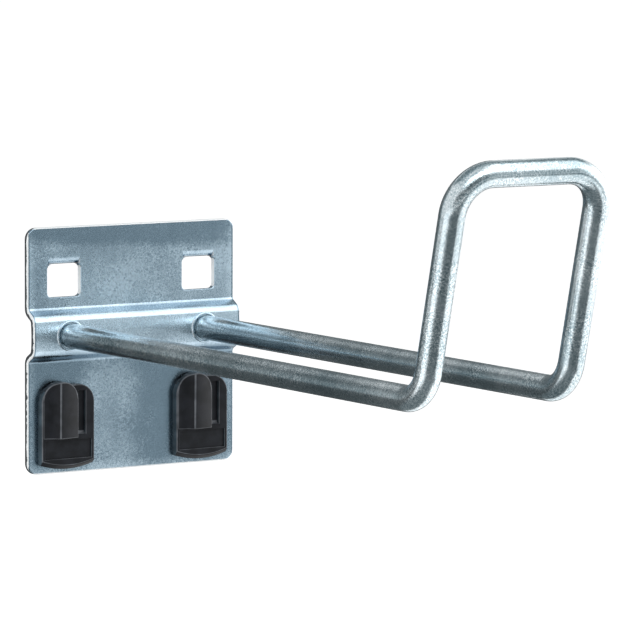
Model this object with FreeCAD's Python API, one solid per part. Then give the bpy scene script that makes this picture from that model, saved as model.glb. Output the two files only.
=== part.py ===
import FreeCAD, Part

import math
import os

from FreeCAD import Vector

# A double hook for a steel wall panel with square holes. A stamped, ridged back
# plate hangs on the panel by two lugs, a bent wire loop stands out from its ridge,
# and two moulded clips lock it into the holes one row further down.
#
# Frame, in millimetres: X runs along the wall, +Y points into the wall, so the hook
# stands out along -Y, and +Z is up. The origin lies on the back face of the plate,
# midway between the two lugs and level with their undersides.

# Wall panel that the hook fits
PANEL_PITCH = 38.0
PANEL_HOLE = 10.0
PANEL_SHEET = 1.5

# Back plate
PLATE_WIDTH = 58.5
PLATE_HEIGHT = 60.0
PLATE_ABOVE_LUGS = 9.1
SHEET = 1.5
PLATE_CORNER = 2.8
PLATE_EDGE_ROUND = 0.3

# Pressed ridge across the plate
RIDGE_BELOW_LUGS = 17.1
RIDGE_RISE = 3.2
RIDGE_FLAT = 6.6
RIDGE_WEB_ANGLE = 60.0
RIDGE_INNER_BEND = 1.0

# Lugs, each folded back and up out of its window
WINDOW_WIDTH = 9.3
WINDOW_HEIGHT = 8.0
WINDOW_CORNER = 1.2
LUG_SIDE_GAP = 0.25
LUG_INNER_BEND = 0.3
LUG_PANEL_GAP = 0.6
LUG_RISE = 3.5
LUG_TIP_ROUND = 2.0
HOLE_TOP_ABOVE_LUG = 1.0

# Wire loop
WIRE = 6.0
PRONG_PITCH = 38.0
PRONG_CLEAR_LENGTH = 150.0
LOOP_RISE = 50.0
LOOP_LEAN = 13.9
WIRE_BEND = 9.0
FOOT_CHAMFER = 0.35

# Riveted joint between wire and plate
TENON = 4.0
TENON_GAP = 0.05
RIVET_HEAD = 6.4
RIVET_HEIGHT = 1.6
RIVET_ROUND = 0.9

# Clip body, seen from the front
CLIP_WIDTH = 14.6
CLIP_TOP_BELOW_LUGS = 29.2
CLIP_SIDE_HEIGHT = 19.4
CLIP_TOP_CORNER = 4.3
CLIP_CHIN = 1.2
CLIP_BODY = 2.0
CLIP_CHIN_CHAMFER = 0.9
CLIP_EDGE_CHAMFER = 0.25

# Clip grip, an arched block with a crest and a finger scoop on one side
GRIP_FROM_LEFT = 0.3
GRIP_WIDTH = 9.5
GRIP_ABOVE_BODY = 0.9
GRIP_OFF_PLATE = 0.8
GRIP_LENGTH = 13.9
CREST_FROM_LEFT = 3.9
CREST_HEIGHT = 1.8
SCOOP_SAG = 0.55
GRIP_SHOULDER = 0.7
GRIP_CROWN = 0.2
GRIP_EDGE_CHAMFER = 0.2

# Groove beside the grip, and the bare panel below it
GROOVE_WIDTH = 2.4
GROOVE_DEPTH = 1.0
GROOVE_TOP_MARGIN = 1.6
GROOVE_FOOT_MARGIN = 0.8
GROOVE_FOOT_ROUND = 0.8
FIELD_DROP = 0.5
FIELD_HEIGHT = 4.5
FIELD_DEPTH = 0.4
FIELD_SIDE_MARGIN = 0.8

# Keyhole opening in the plate and the part of the clip that fills it
OPENING_HEAD_RADIUS = 5.0
OPENING_HEAD_OFFSET = -1.9
OPENING_HEAD_BELOW_CLIP_TOP = 5.4
OPENING_SLOT_WIDTH = 9.8
OPENING_GAP = 0.2

# Latch behind the plate
LATCH_GAP = 0.25
LATCH_PANEL_GAP = 0.25
LATCH_BARB = 0.35
LATCH_BARB_LAND = 0.4
LATCH_TIP_IN = 1.0
LATCH_LENGTH = 4.6
LATCH_SPLIT = 3.6
LATCH_SPLIT_START = 0.8

# Two lengths closer than this count as equal when an edge is picked by its place
NEAR = 1e-6

# Levels and faces that follow from the sizes above
LUG_X = PANEL_PITCH / 2
PRONG_X = PRONG_PITCH / 2
PLATE_TOP_Z = PLATE_ABOVE_LUGS
PLATE_BOTTOM_Z = PLATE_TOP_Z - PLATE_HEIGHT
PLATE_FRONT_Y = -SHEET
RIDGE_Z = -RIDGE_BELOW_LUGS
RIDGE_FRONT_Y = PLATE_FRONT_Y - RIDGE_RISE
RIDGE_BACK_Y = RIDGE_FRONT_Y + SHEET
UPPER_HOLE_Z = SHEET + HOLE_TOP_ABOVE_LUG - PANEL_HOLE / 2
LOWER_HOLE_Z = UPPER_HOLE_Z - PANEL_PITCH
CLIP_TOP_Z = -CLIP_TOP_BELOW_LUGS
CLIP_FOOT_Z = CLIP_TOP_Z - CLIP_SIDE_HEIGHT
CLIP_FRONT_Y = PLATE_FRONT_Y - CLIP_BODY
GRIP_TOP_Z = CLIP_TOP_Z + GRIP_ABOVE_BODY
GRIP_FOOT_Z = GRIP_TOP_Z - GRIP_LENGTH
GRIP_LEFT = GRIP_FROM_LEFT - CLIP_WIDTH / 2
GRIP_RIGHT = GRIP_LEFT + GRIP_WIDTH
GRIP_BACK_Y = PLATE_FRONT_Y - GRIP_OFF_PLATE
FIELD_TOP_Z = GRIP_FOOT_Z - FIELD_DROP


def heading(angle):
    """Unit vector in the YZ plane, turned by angle degrees from +Y towards +Z."""
    return Vector(0, math.cos(math.radians(angle)), math.sin(math.radians(angle)))


def run(length):
    return ("run", length, 0)


def bend(angle, inner_radius):
    return ("bend", angle, inner_radius)


def folded_strip(start, angle, moves, x_from, width):
    """Sheet of even thickness folded along its middle line and drawn out along X.

    start is a point of the middle line, angle its first direction, and moves the
    runs and bends that follow. A positive bend turns from +Y towards +Z.
    """
    sides = {1: [], -1: []}
    at = start

    def edge_point(point, direction, side):
        return point + heading(direction + 90) * (side * SHEET / 2)

    for kind, amount, inner_radius in moves:
        if kind == "run":
            ahead = at + heading(angle) * amount
            for side in sides:
                line = Part.makeLine(edge_point(at, angle, side), edge_point(ahead, angle, side))
                sides[side].append(line)
            at = ahead
            continue
        towards = math.copysign(1, amount)
        radius = inner_radius + SHEET / 2
        centre = at + heading(angle + 90 * towards) * radius
        for side in sides:
            arc_radius = radius - side * towards * SHEET / 2
            points = [centre - heading(angle + 90 * towards + part * amount) * arc_radius
                      for part in (0, 0.5, 1)]
            sides[side].append(Part.Arc(*points).toShape())
        at = centre - heading(angle + 90 * towards + amount) * radius
        angle += amount

    first_cap = Part.makeLine(sides[1][0].firstVertex().Point, sides[-1][0].firstVertex().Point)
    last_cap = Part.makeLine(sides[1][-1].lastVertex().Point, sides[-1][-1].lastVertex().Point)
    outline = Part.Wire(Part.__sortEdges__(sides[1] + sides[-1] + [first_cap, last_cap]))
    section = Part.Face(outline)
    section.translate(Vector(x_from, 0, 0))
    return section.extrude(Vector(width, 0, 0))


def runs_along_y(edge):
    first, last = edge.firstVertex().Point, edge.lastVertex().Point
    return abs(first.x - last.x) < NEAR and abs(first.z - last.z) < NEAR


def at_level(edge, z):
    return all(abs(vertex.Point.z - z) < NEAR for vertex in edge.Vertexes)


def at_depth(edge, y):
    return all(abs(vertex.Point.y - y) < NEAR for vertex in edge.Vertexes)


def ridged_sheet():
    """Flat sheet with the ridge pressed forward across its whole width."""
    web_angle = math.radians(RIDGE_WEB_ANGLE)
    middle_radius = RIDGE_INNER_BEND + SHEET / 2
    web = (RIDGE_RISE - 2 * middle_radius * (1 - math.cos(web_angle))) / math.sin(web_angle)
    slope_height = 2 * middle_radius * math.sin(web_angle) + web * math.cos(web_angle)
    half_ridge = RIDGE_FLAT / 2 + slope_height
    forward = bend(-RIDGE_WEB_ANGLE, RIDGE_INNER_BEND)
    back = bend(RIDGE_WEB_ANGLE, RIDGE_INNER_BEND)
    moves = [
        run(PLATE_TOP_Z - RIDGE_Z - half_ridge),
        forward, run(web), back,
        run(RIDGE_FLAT),
        back, run(web), forward,
        run(RIDGE_Z - half_ridge - PLATE_BOTTOM_Z),
    ]
    top = Vector(0, PLATE_FRONT_Y / 2, PLATE_TOP_Z)
    return folded_strip(top, -90, moves, -PLATE_WIDTH / 2, PLATE_WIDTH)


def lug(x):
    """Tongue of the sheet, folded back through the panel's hole and up behind it."""
    width = WINDOW_WIDTH - 2 * LUG_SIDE_GAP
    reach = PANEL_SHEET + LUG_PANEL_GAP - 2 * LUG_INNER_BEND
    root = Vector(0, PLATE_FRONT_Y / 2, SHEET + LUG_INNER_BEND)
    fold = bend(90, LUG_INNER_BEND)
    tongue = folded_strip(root, -90, [fold, run(reach), fold, run(LUG_RISE)], x - width / 2, width)
    tip_z = SHEET + LUG_INNER_BEND + LUG_RISE
    tips = [edge for edge in tongue.Edges if runs_along_y(edge) and at_level(edge, tip_z)]
    return tongue.makeFillet(LUG_TIP_ROUND, tips)


def window(x):
    """Round-cornered opening that the lug leaves behind, and the space in front of its bend."""
    opening = Part.makeBox(WINDOW_WIDTH, 3 * SHEET, WINDOW_HEIGHT,
                           Vector(x - WINDOW_WIDTH / 2, -2 * SHEET, -WINDOW_HEIGHT))
    opening = opening.makeFillet(WINDOW_CORNER, [edge for edge in opening.Edges if runs_along_y(edge)])
    lug_half = WINDOW_WIDTH / 2 - LUG_SIDE_GAP
    bend_space = Part.makeBox(2 * lug_half, 3 * SHEET, SHEET + LUG_INNER_BEND,
                              Vector(x - lug_half, -2 * SHEET, 0))
    return opening.fuse(bend_space)


def keyhole(x, inset, y_from, y_to):
    """Round head over a slot as wide as the latch, seen from the front."""
    head_z = CLIP_TOP_Z - OPENING_HEAD_BELOW_CLIP_TOP
    depth = y_to - y_from
    head = Part.makeCylinder(OPENING_HEAD_RADIUS - inset, depth,
                             Vector(x + OPENING_HEAD_OFFSET, y_from, head_z), Vector(0, 1, 0))
    half = OPENING_SLOT_WIDTH / 2 - inset
    slot_foot = LOWER_HOLE_Z - OPENING_SLOT_WIDTH / 2 + inset
    slot = Part.makeBox(2 * half, depth, head_z - slot_foot, Vector(x - half, y_from, slot_foot))
    return head.fuse(slot)


def trimmed_blank():
    """Ridged sheet with round corners, its front rim rolled over as a press leaves it."""
    blank = ridged_sheet()
    corners = [edge for edge in blank.Edges
               if runs_along_y(edge) and (at_level(edge, PLATE_TOP_Z) or at_level(edge, PLATE_BOTTOM_Z))]
    blank = blank.makeFillet(PLATE_CORNER, corners)
    top_rim = [edge for edge in blank.Edges
               if at_level(edge, PLATE_TOP_Z) and at_depth(edge, PLATE_FRONT_Y)]
    return blank.makeFillet(PLATE_EDGE_ROUND, top_rim)


def back_plate():
    """The blank with its windows, lugs, keyholes and the two holes for the wire."""
    plate = trimmed_blank()
    for side in (-1, 1):
        plate = plate.cut(window(side * LUG_X))
        plate = plate.fuse(lug(side * LUG_X))
        plate = plate.cut(keyhole(side * LUG_X, 0, -2 * SHEET, SHEET))
        hole_start = Vector(side * PRONG_X, RIDGE_FRONT_Y - SHEET, RIDGE_Z)
        rivet_hole = Part.makeCylinder(TENON / 2 + TENON_GAP, 3 * SHEET, hole_start, Vector(0, 1, 0))
        plate = plate.cut(rivet_hole)
    return plate.removeSplitter()


def wire_path():
    """Middle line of the wire from one foot, round the loop, to the other foot."""
    foot_y = RIDGE_FRONT_Y - FOOT_CHAMFER
    heel_y = RIDGE_FRONT_Y - PRONG_CLEAR_LENGTH - WIRE / 2
    top_y = heel_y - LOOP_RISE * math.tan(math.radians(LOOP_LEAN))
    top_z = RIDGE_Z + LOOP_RISE
    corners = [
        Vector(-PRONG_X, foot_y, RIDGE_Z),
        Vector(-PRONG_X, heel_y, RIDGE_Z),
        Vector(-PRONG_X, top_y, top_z),
        Vector(PRONG_X, top_y, top_z),
        Vector(PRONG_X, heel_y, RIDGE_Z),
        Vector(PRONG_X, foot_y, RIDGE_Z),
    ]
    edges = []
    at = corners[0]
    for before, corner, after in zip(corners, corners[1:], corners[2:]):
        back = (before - corner).normalize()
        on = (after - corner).normalize()
        half_angle = back.getAngle(on) / 2
        tangent = WIRE_BEND / math.tan(half_angle)
        centre = corner + (back + on).normalize() * (WIRE_BEND / math.sin(half_angle))
        middle = centre + (corner - centre).normalize() * WIRE_BEND
        start, end = corner + back * tangent, corner + on * tangent
        edges += [Part.makeLine(at, start), Part.Arc(start, middle, end).toShape()]
        at = end
    edges.append(Part.makeLine(at, corners[-1]))
    return Part.Wire(edges)


def wire_foot(x):
    """Chamfered shoulder on the ridge, tenon through it and riveted head behind it."""
    head_y = RIDGE_BACK_Y + RIVET_HEIGHT
    round_x, round_y = RIVET_HEAD / 2 - RIVET_ROUND, head_y - RIVET_ROUND
    slant = RIVET_ROUND * math.sqrt(0.5)
    head_arc = Part.Arc(
        Vector(RIVET_HEAD / 2, round_y, 0),
        Vector(round_x + slant, round_y + slant, 0),
        Vector(round_x, head_y, 0)).toShape()
    points = [
        Vector(round_x, head_y, 0),
        Vector(0, head_y, 0),
        Vector(0, RIDGE_FRONT_Y - FOOT_CHAMFER, 0),
        Vector(WIRE / 2, RIDGE_FRONT_Y - FOOT_CHAMFER, 0),
        Vector(WIRE / 2 - FOOT_CHAMFER, RIDGE_FRONT_Y, 0),
        Vector(TENON / 2, RIDGE_FRONT_Y, 0),
        Vector(TENON / 2, RIDGE_BACK_Y, 0),
        Vector(RIVET_HEAD / 2, RIDGE_BACK_Y, 0),
        Vector(RIVET_HEAD / 2, round_y, 0),
    ]
    outline = Part.Wire([head_arc] + list(Part.makePolygon(points).Edges))
    foot = Part.Face(outline).revolve(Vector(0, 0, 0), Vector(0, 1, 0), 360)
    foot.translate(Vector(x, 0, RIDGE_Z))
    return foot


def wire_loop():
    """Round wire swept along its middle line, with a riveted foot at each end."""
    path = wire_path()
    ring = Part.Wire(Part.makeCircle(WIRE / 2, path.Edges[0].firstVertex().Point, Vector(0, -1, 0)))
    wire = path.makePipeShell([ring], True, False)
    for side in (-1, 1):
        wire = wire.fuse(wire_foot(side * PRONG_X))
    return wire.removeSplitter()


def clip_body(x):
    """Flange against the plate, round at its upper corners and bowed at its chin."""
    half = CLIP_WIDTH / 2
    shoulder_z = CLIP_TOP_Z - CLIP_TOP_CORNER
    inner = half - CLIP_TOP_CORNER
    slant = CLIP_TOP_CORNER * math.sqrt(0.5)

    def front_point(across, z):
        return Vector(x + across, PLATE_FRONT_Y, z)

    def corner(side):
        return Part.Arc(front_point(side * half, shoulder_z),
                        front_point(side * (inner + slant), shoulder_z + slant),
                        front_point(side * inner, CLIP_TOP_Z)).toShape()

    foot_left, foot_right = front_point(-half, CLIP_FOOT_Z), front_point(half, CLIP_FOOT_Z)
    chin_middle = front_point(0, CLIP_FOOT_Z - CLIP_CHIN)
    edges = [
        corner(-1),
        Part.makeLine(front_point(-inner, CLIP_TOP_Z), front_point(inner, CLIP_TOP_Z)),
        corner(1),
        Part.makeLine(front_point(half, shoulder_z), foot_right),
        Part.Arc(foot_right, chin_middle, foot_left).toShape(),
        Part.makeLine(foot_left, front_point(-half, shoulder_z)),
    ]
    outline = Part.Wire(Part.__sortEdges__(edges))
    body = Part.Face(outline).extrude(Vector(0, -CLIP_BODY, 0))
    chin = [edge for edge in body.Edges if at_depth(edge, CLIP_FRONT_Y) and at_level(edge, CLIP_FOOT_Z)]
    body = body.makeChamfer(CLIP_CHIN_CHAMFER, chin)
    top_rim = [edge for edge in body.Edges if at_depth(edge, CLIP_FRONT_Y) and at_level(edge, CLIP_TOP_Z)]
    return body.makeChamfer(CLIP_EDGE_CHAMFER, top_rim)


def grip(x):
    """Arched block: a finger scoop rises to a crest, and a crown falls away from it.

    Its head stands above the flange and off the plate, so a tool can lift it there.
    """
    left, right = x + GRIP_LEFT, x + GRIP_RIGHT
    crest = Vector(left + CREST_FROM_LEFT, CLIP_FRONT_Y - CREST_HEIGHT, GRIP_FOOT_Z)
    front_left = Vector(left, CLIP_FRONT_Y, GRIP_FOOT_Z)
    shoulder = Vector(right, CLIP_FRONT_Y - GRIP_SHOULDER, GRIP_FOOT_Z)
    root_left = Vector(left, GRIP_BACK_Y, GRIP_FOOT_Z)
    root_right = Vector(right, GRIP_BACK_Y, GRIP_FOOT_Z)
    scoop_middle = (front_left + crest) * 0.5 + Vector(SCOOP_SAG / 2, SCOOP_SAG, 0)
    crown_middle = (crest + shoulder) * 0.5 + Vector(0, -GRIP_CROWN, 0)
    section = Part.Face(Part.Wire([
        Part.Arc(front_left, scoop_middle, crest).toShape(),
        Part.Arc(crest, crown_middle, shoulder).toShape(),
        Part.makeLine(shoulder, root_right),
        Part.makeLine(root_right, root_left),
        Part.makeLine(root_left, front_left),
    ]))
    block = section.extrude(Vector(0, 0, GRIP_LENGTH))
    radius = GRIP_WIDTH / 2
    depth = CLIP_BODY + 2 * CREST_HEIGHT
    spring_z = GRIP_TOP_Z - radius
    legs = Part.makeBox(GRIP_WIDTH, depth, spring_z - GRIP_FOOT_Z,
                        Vector(left, GRIP_BACK_Y - depth, GRIP_FOOT_Z))
    head = Part.makeCylinder(radius, depth, Vector(left + radius, GRIP_BACK_Y - depth, spring_z),
                             Vector(0, 1, 0))
    block = block.common(legs.fuse(head))
    rim = [edge for edge in block.Edges
           if all(vertex.Point.y < CLIP_FRONT_Y + NEAR for vertex in edge.Vertexes)
           and not at_level(edge, GRIP_FOOT_Z)
           and not all(abs(vertex.Point.x - crest.x) < NEAR for vertex in edge.Vertexes)]
    return block.makeChamfer(GRIP_EDGE_CHAMFER, rim)


def groove(x):
    """Cutter for the groove beside the grip, with a rounded foot."""
    top = CLIP_TOP_Z - GROOVE_TOP_MARGIN
    foot = GRIP_FOOT_Z + GROOVE_FOOT_MARGIN
    cutter = Part.makeBox(GROOVE_WIDTH, GROOVE_DEPTH + CREST_HEIGHT, top - foot,
                          Vector(x + GRIP_RIGHT, CLIP_FRONT_Y - CREST_HEIGHT, foot))
    floor_y = CLIP_FRONT_Y + GROOVE_DEPTH
    foot_edge = [edge for edge in cutter.Edges if at_depth(edge, floor_y) and at_level(edge, foot)]
    return cutter.makeFillet(GROOVE_FOOT_ROUND, foot_edge)


def bare_field(x):
    """Cutter for the shallow blank panel under the grip."""
    half = CLIP_WIDTH / 2 - FIELD_SIDE_MARGIN
    return Part.makeBox(2 * half, FIELD_DEPTH + CREST_HEIGHT, FIELD_HEIGHT,
                        Vector(x - half, CLIP_FRONT_Y - CREST_HEIGHT, FIELD_TOP_Z - FIELD_HEIGHT))


def latch(x):
    """Split boss that fills the panel's hole and catches behind its edges."""
    half = PANEL_HOLE / 2 - LATCH_GAP
    height = 2 * half
    barb_start = PANEL_SHEET + LATCH_PANEL_GAP
    barb_end = barb_start + LATCH_BARB
    barb_half = PANEL_HOLE / 2 + LATCH_BARB
    outline = [
        (half, -OPENING_GAP),
        (half, barb_start),
        (barb_half, barb_end),
        (barb_half, barb_end + LATCH_BARB_LAND),
        (half - LATCH_TIP_IN, LATCH_LENGTH),
    ]
    right = [Vector(x + px, py, 0) for px, py in outline]
    left = [Vector(x - px, py, 0) for px, py in reversed(outline)]
    section = Part.Face(Part.makePolygon(right + left + right[:1]))
    section.translate(Vector(0, 0, LOWER_HOLE_Z - half))
    boss = section.extrude(Vector(0, 0, height))
    root = Vector(x, LATCH_SPLIT_START + LATCH_SPLIT / 2, LOWER_HOLE_Z - half)
    split = Part.makeBox(LATCH_SPLIT, LATCH_LENGTH, height, root - Vector(LATCH_SPLIT / 2, 0, 0))
    round_root = Part.makeCylinder(LATCH_SPLIT / 2, height, root)
    return boss.cut(split).cut(round_root)


def clip(x):
    """Moulded clip: flange and grip in front, keyed through the plate to its latch."""
    body = clip_body(x).fuse(grip(x))
    body = body.cut(groove(x)).cut(bare_field(x))
    body = body.fuse(keyhole(x, OPENING_GAP, PLATE_FRONT_Y, -OPENING_GAP))
    return body.fuse(latch(x)).removeSplitter()


def save(node, shape):
    solids = shape.Solids
    if len(solids) != 1 or not solids[0].isValid():
        raise ValueError(node + " is not one valid solid")
    solids[0].exportStep("parts/" + node + ".step")
    print(node, round(solids[0].Volume, 1), "mm3")


os.makedirs("parts", exist_ok=True)
save("back_plate", back_plate())
save("wire_loop", wire_loop())
save("clip_left", clip(-LUG_X))
save("clip_right", clip(LUG_X))
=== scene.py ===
"""A double wire hook for a tool panel: plate, wire and clips, with their finishes and a stage."""

import math

import bmesh
import bpy
from mathutils import Matrix, Vector


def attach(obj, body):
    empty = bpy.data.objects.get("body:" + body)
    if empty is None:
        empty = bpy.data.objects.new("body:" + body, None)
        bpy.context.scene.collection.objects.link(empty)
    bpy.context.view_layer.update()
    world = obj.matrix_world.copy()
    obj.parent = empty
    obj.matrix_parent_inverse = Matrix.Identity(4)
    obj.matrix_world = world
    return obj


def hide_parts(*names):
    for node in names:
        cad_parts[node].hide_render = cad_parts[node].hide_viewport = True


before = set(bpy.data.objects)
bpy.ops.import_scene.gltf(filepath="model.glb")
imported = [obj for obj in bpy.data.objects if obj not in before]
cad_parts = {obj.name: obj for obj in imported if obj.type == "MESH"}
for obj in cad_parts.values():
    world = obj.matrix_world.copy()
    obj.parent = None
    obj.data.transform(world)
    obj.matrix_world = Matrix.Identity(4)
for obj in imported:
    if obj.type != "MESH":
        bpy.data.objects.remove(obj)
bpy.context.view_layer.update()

bl_info = {
    "name": "Tool Panel Hook",
    "version": (1, 0, 0),
    "blender": (4, 5, 0),
    "location": "View3D > Sidebar > Hook",
    "description": "Builds a double wire hook with a ridged plate and two clips",
    "category": "Add Mesh",
}

MM = 0.001
LEFT, RIGHT = -1, 1
ACROSS = Vector((1, 0, 0))
INWARD = Vector((0, 1, 0))
UP = Vector((0, 0, 1))
QUARTER_TURN = math.pi / 2
INTO_WALL = (QUARTER_TURN, 0, 0)

# Facets of the round shapes, each over its whole circle or its whole bend
WIRE_FACETS, BAR_FACETS, BEAD_FACETS = 72, 64, 12
RIDGE_STEPS, CROWN_STEPS, PLATE_CORNER_STEPS, LUG_STEPS, WINDOW_STEPS = 10, 12, 12, 8, 8
HEEL_STEPS, LOOP_STEPS, RIVET_STEPS = 24, 28, 6
CLIP_CORNER_STEPS, CHIN_STEPS, GRIP_STEPS, GRIP_COLUMNS = 16, 24, 20, 7
GROOVE_STEPS, SPLIT_STEPS, LATCH_STEPS, EDGE_STEPS = 6, 8, 2, 3

# Facets that meet at less than this, in degrees, are shaded as one surface
SMOOTH_MOULDING, SMOOTH_WIRE = 32, 30

# An edge counts as sharp from this angle on
SHARP_SHEET, SHARP_GRIP, SHARP_LATCH = math.radians(60), math.radians(30), math.radians(40)

# How far a face's normal leans along an axis for the face to count as turned that way
TO_THE_SIDE, TO_THE_LEFT, TILTED, DOWN = 0.8, -0.85, 0.2, -0.3

# A bevel that would use up its whole side stops just short of it
FULL_ROUND, HALF_ROUND = 0.998, 0.49

# How many features of each noise there are in a metre
CLOUD_SCALE, PATCH_SCALE, DENT_SCALE, RAGGED_SCALE, SPECKLE_SCALE = 60, 110, 240, 900, 2300
PLASTIC_CLOUD_SCALE, PLASTIC_GRAIN_SCALE = 320, 4200

# The middle of a noise, and the part of it that a ramp stretches
MIDDLE = 0.5
PATCH_RAMP, ZINC_RAMP, PLASTIC_RAMP = (0.38, 0.62), (0.33, 0.67), (0.35, 0.70)

# How much the speckle and clouds vary the zinc's tone, and how much each painted highlight and
# painted shade lightens or darkens it
PATCHED_SPECKLE, EVEN_SPECKLE, CLOUDS = 0.6, 0.4, 0.35
PAINTED_RIDGE_HIGHLIGHT, PAINTED_RIM_HIGHLIGHT = 0.18, 0.14
PAINTED_SIDE_LINE_SHADE, PAINTED_TOP_SHADE, PAINTED_FOOT_SHADE, PAINTED_SHADOW_UNDER_RIDGE = 0.60, 0.20, 0.15, 0.10

# The stage
WHITE = (1, 1, 1, 1)
HOOK_MIDDLE = Vector((0, -0.085, -0.01))
FLOOR_LEVEL, FLOOR_SIZE = -0.30, 40
UPRIGHT, LEVEL = (QUARTER_TURN, 0, 0), (0, 0, 0)
CARD_TINT, CARD_GLOW = (0.02, 0.02, 0.02, 1), (0.80, 0.95, 1.0, 1)
CAMERA_PLACE = (-0.640714, -1.080385, 0.118704)
CAMERA_LENS, CAMERA_SENSOR = 294.19, 36
CAMERA_PAN, CAMERA_DIP, CAMERA_ROLL = -32.759, 6.015, 0.258


def length(name, description, millimetres):
    return bpy.props.FloatProperty(name=name, description=description, default=millimetres * MM,
                                   unit="LENGTH", precision=5)


def angle(name, description, degrees):
    return bpy.props.FloatProperty(name=name, description=description,
                                   default=math.radians(degrees), subtype="ANGLE")


def colour(name, description, value):
    return bpy.props.FloatVectorProperty(name=name, description=description, default=value,
                                         subtype="COLOR", size=3, min=0.0, max=1.0)


class HookPlateSizes(bpy.types.PropertyGroup):
    width: length("Width", "Width of the plate", 58.5)
    height: length("Height", "Height of the plate", 60.0)
    top: length("Top", "Height of the plate's top edge above the lugs' undersides", 9.1)
    sheet: length("Sheet", "Thickness of the sheet", 1.5)
    corner: length("Corner", "Radius of the plate's corners", 2.8)
    pitch: length("Pitch", "Distance between the two lugs, and between the two wires", 38.0)
    ridge_below: length("Ridge below", "Depth of the ridge's middle below the lugs' undersides",
                        17.1)
    ridge_rise: length("Ridge rise", "How far the ridge stands out from the sheet", 3.2)
    ridge_flat: length("Ridge flat", "Height of the flat on the ridge", 6.6)
    ridge_bend: length("Ridge bend", "Inner radius of the ridge's bends", 1.0)
    ridge_web: angle("Ridge web", "Slope of the ridge's webs to the sheet", 60)
    ridge_crown: angle("Ridge crown", "How far the ridge's face turns from top to foot", 14)
    window_width: length("Window width", "Width of a window", 9.3)
    window_height: length("Window height", "Height of a window", 8.0)
    window_corner: length("Window corner", "Radius of a window's corners", 1.2)
    lug_width: length("Lug width", "Width of a lug", 8.8)
    lug_bend: length("Lug bend", "Inner radius of a lug's two bends", 0.3)
    lug_reach: length("Lug reach", "Room for the panel between the plate and a lug", 2.1)
    lug_rise: length("Lug rise", "Height of a lug above its second bend", 3.5)
    lug_round: length("Lug round", "Radius of a lug's upper corners", 2.0)
    hole_below: length("Hole below", "Depth of the panel holes' middles below the lugs' undersides",
                       2.5)
    head_radius: length("Head radius", "Radius of the keyhole's round head", 5.0)
    head_shift: length("Head shift", "How far the head sits to the left of the keyhole's slot", 1.9)
    head_below: length("Head below", "Depth of the head's middle below the lugs' undersides", 34.6)
    slot: length("Slot", "Width of the keyhole's slot", 9.8)
    seat_radius: length("Seat radius", "Radius of the bead of plating round a wire's foot", 3.5)
    seat_bead: length("Seat bead", "Thickness of that bead", 0.3)
    edge: length("Edge", "Width of the worn round on every cut edge", 0.30)


class HookWireSizes(bpy.types.PropertyGroup):
    wire: length("Wire", "Diameter of the wire, a hair under 6 mm to keep its facets in the solid",
                 5.99)
    prong: length("Prong", "Clear length of a prong, from the ridge to the upright", 150.0)
    rise: length("Rise", "Height of the loop between the middles of its wires", 50.0)
    bend: length("Bend", "Radius of the wire's bends, to its middle line", 9.0)
    chamfer: length("Chamfer", "Chamfer of the wire where it meets the ridge", 0.35)
    tenon: length("Tenon", "Diameter of the wire's end in the ridge", 4.0)
    tenon_gap: length("Tenon gap", "Room round the wire's end in the ridge", 0.05)
    rivet: length("Rivet", "Diameter of the riveted head behind the ridge", 6.4)
    rivet_height: length("Rivet height", "Height of the riveted head", 1.6)
    rivet_round: length("Rivet round", "Radius of the riveted head's rim", 0.9)
    lean: angle("Lean", "Lean of the loop away from the wall", 13.9)


class HookClipSizes(bpy.types.PropertyGroup):
    width: length("Width", "Width of a clip", 14.6)
    top: length("Top", "Depth of the clip's top below the lugs' undersides", 29.2)
    side: length("Side", "Height of the clip's sides", 19.4)
    corner: length("Corner", "Radius of the clip's upper corners", 4.3)
    chin: length("Chin", "How far the clip's foot bows down", 1.2)
    body: length("Body", "Thickness of the clip's body in front of the plate", 2.0)
    chin_chamfer: length("Chin chamfer", "Chamfer along the clip's foot", 0.9)
    grip_inset: length("Grip inset", "Distance of the grip from the body's left side", 0.3)
    grip_width: length("Grip width", "Width of the finger grip", 9.5)
    grip_lift: length("Grip lift", "Gap between the plate and the grip's head", 0.8)
    grip_above: length("Grip above", "Height of the grip above the body", 0.9)
    grip_length: length("Grip length", "Height of the grip", 13.9)
    grip_proud: length("Grip proud", "How far the grip's left edge stands before the body", 0.06)
    crest_place: length("Crest place", "Distance of the crest from the grip's left side", 3.9)
    crest: length("Crest", "Height of the crest in front of the body", 1.8)
    scoop: length("Scoop", "Depth of the finger scoop", 0.55)
    shoulder: length("Shoulder", "Height of the grip's right shoulder", 0.7)
    crown: length("Crown", "Bulge of the grip between its crest and its shoulder", 0.2)
    groove_width: length("Groove width", "Width of the groove beside the grip", 2.4)
    groove_depth: length("Groove depth", "Depth of the groove beside the grip", 1.0)
    field_height: length("Field height", "Height of the bare panel", 4.5)
    field_depth: length("Field depth", "Depth of the bare panel", 0.4)
    groove_top: length("Groove top", "Distance of the groove below the clip's top", 1.6)
    groove_foot: length("Groove foot", "Distance of the groove's foot above the grip's", 0.8)
    groove_round: length("Groove round", "Radius along the groove's foot", 0.8)
    field_drop: length("Field drop", "Distance of the bare panel below the grip", 0.5)
    field_margin: length("Field margin", "Width of the rim beside the bare panel", 0.8)
    edge: length("Edge", "Width of the moulded round on the clip's edges", 0.24)


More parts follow.
